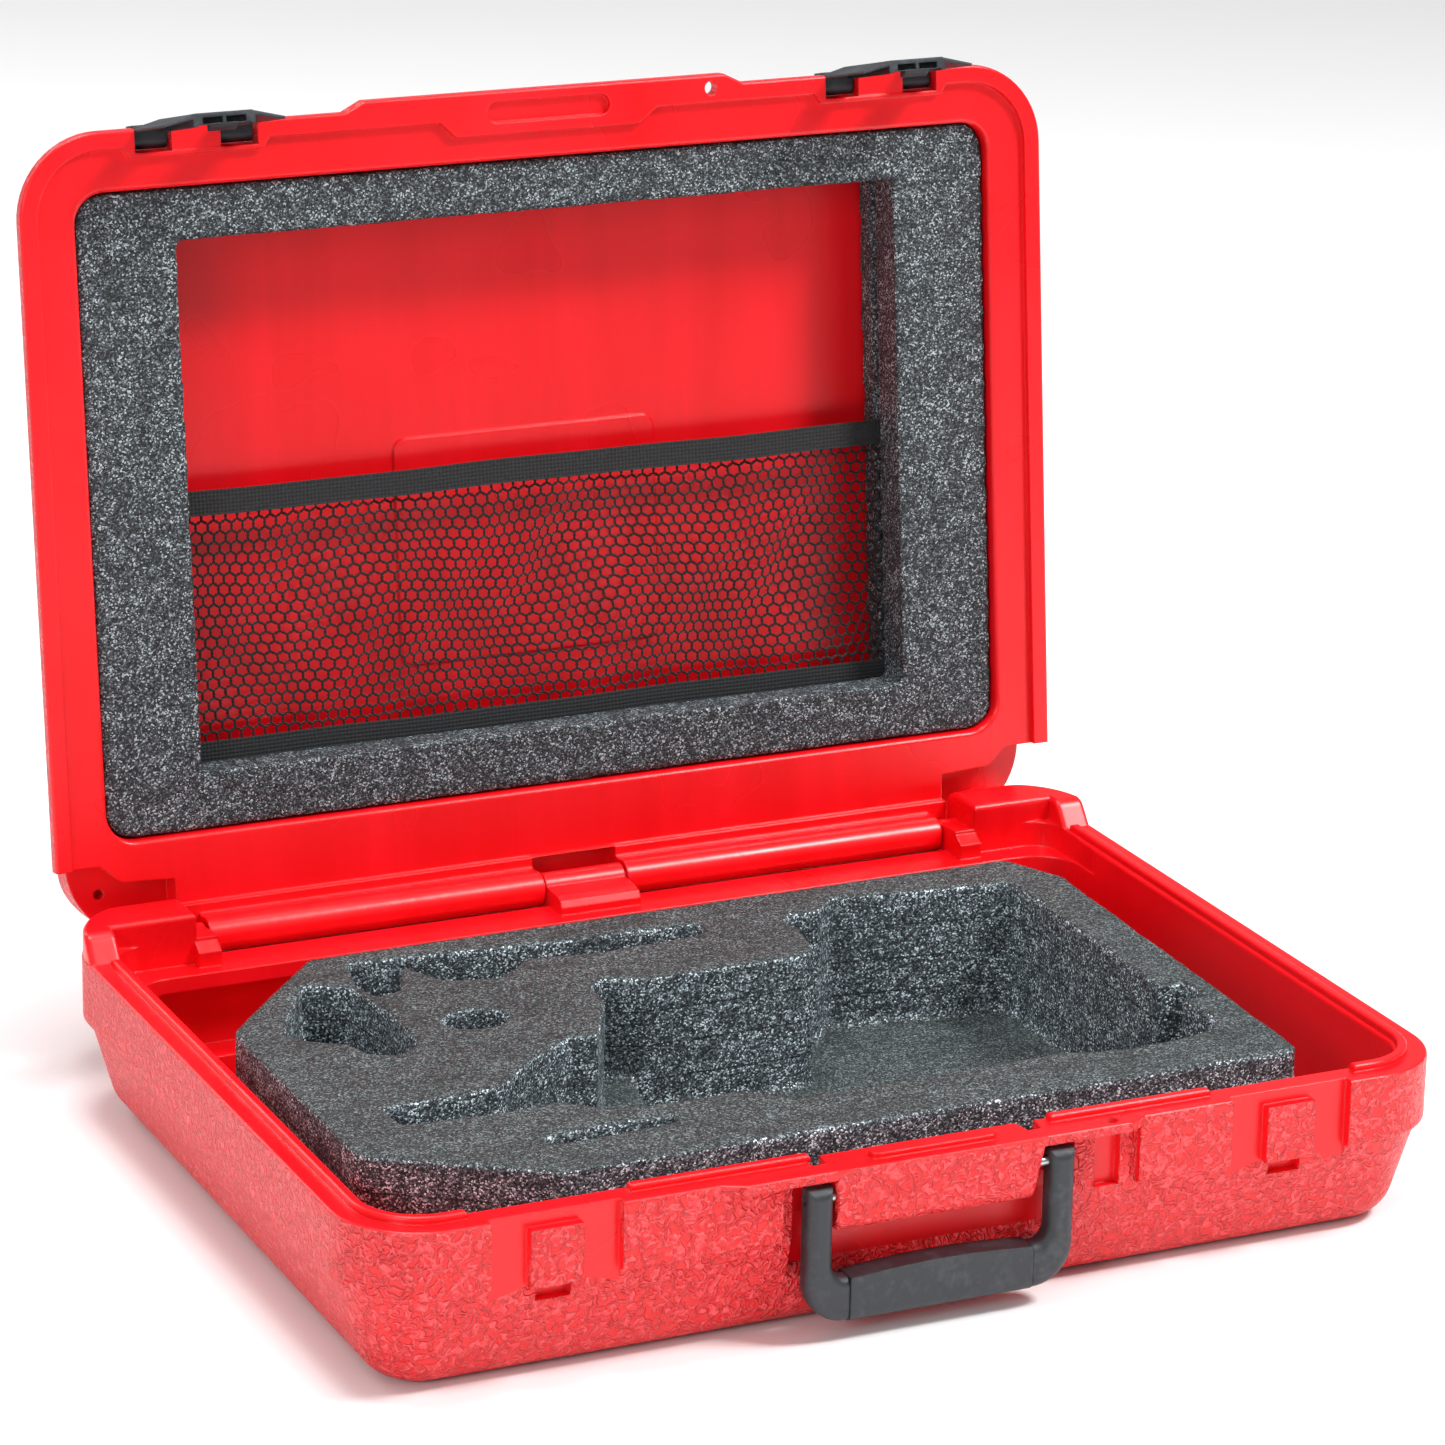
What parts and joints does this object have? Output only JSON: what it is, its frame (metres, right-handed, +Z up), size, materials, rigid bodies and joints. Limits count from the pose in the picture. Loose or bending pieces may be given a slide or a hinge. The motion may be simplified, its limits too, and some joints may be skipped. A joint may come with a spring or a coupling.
{
  "type": "carrying case",
  "caption": "Hinged moulded carrying case standing open, with cut foam inserts, a mesh lid pocket, snap latches and a drop handle.",
  "frame": {"origin": "middle of the base's underside, on the ground plane", "axes": "+X along the width to the right, -Y to the front where the handle hangs, +Z up"},
  "size_m": [0.5, 0.4665, 0.4419],
  "materials": {
    "shell": "red polyethylene, fine leather grain outside, satin inside",
    "foam": "charcoal closed-cell foam, sparkling cut cells",
    "black_plastic": "dark grey satin plastic, fine grain",
    "steel": "drawn steel wire",
    "webbing": "black ribbed webbing",
    "mesh": "black hexagonal net"
  },
  "bodies": {
    "base": {"base_shell": "shell", "base_foam_pad": "foam", "base_foam_sheet_1": "foam", "base_foam_sheet_2": "foam", "base_foam_sheet_3": "foam", "base_foam_sheet_4": "foam", "hinge_pin_left": "steel", "hinge_pin_right": "steel"},
    "handle": {"handle_bail": "black_plastic", "handle_grip": "black_plastic", "handle_pin_left": "steel", "handle_pin_right": "steel"},
    "lid": {"lid_shell": "shell", "lid_foam_frame_front": "foam", "lid_foam_frame_rear": "foam", "pocket_mesh": "mesh", "pocket_band_top": "webbing", "pocket_band_bottom": "webbing", "latch_pin_left": "steel", "latch_pin_right": "steel"},
    "left_latch": {"latch_left": "black_plastic"},
    "right_latch": {"latch_right": "black_plastic"}
  },
  "joints": [
    {"name": "lid_hinge", "type": "hinge", "parent": "base", "child": "lid", "pos_m": [0, 0.1772, 0.0685], "axis": [1, 0, 0], "range_deg": [0, 96.2]},
    {"name": "handle_pivot", "type": "hinge", "parent": "base", "child": "handle", "pos_m": [0.001, -0.187, 0.063], "axis": [-1, 0, 0], "range_deg": [0, 95]},
    {"name": "left_latch_pivot", "type": "hinge", "parent": "lid", "child": "left_latch", "pos_m": [-0.1675, 0.23119, 0.42194], "axis": [-1, 0, 0], "range_deg": [-8, 80]},
    {"name": "right_latch_pivot", "type": "hinge", "parent": "lid", "child": "right_latch", "pos_m": [0.1675, 0.23119, 0.42194], "axis": [-1, 0, 0], "range_deg": [-8, 80]}
  ]
}
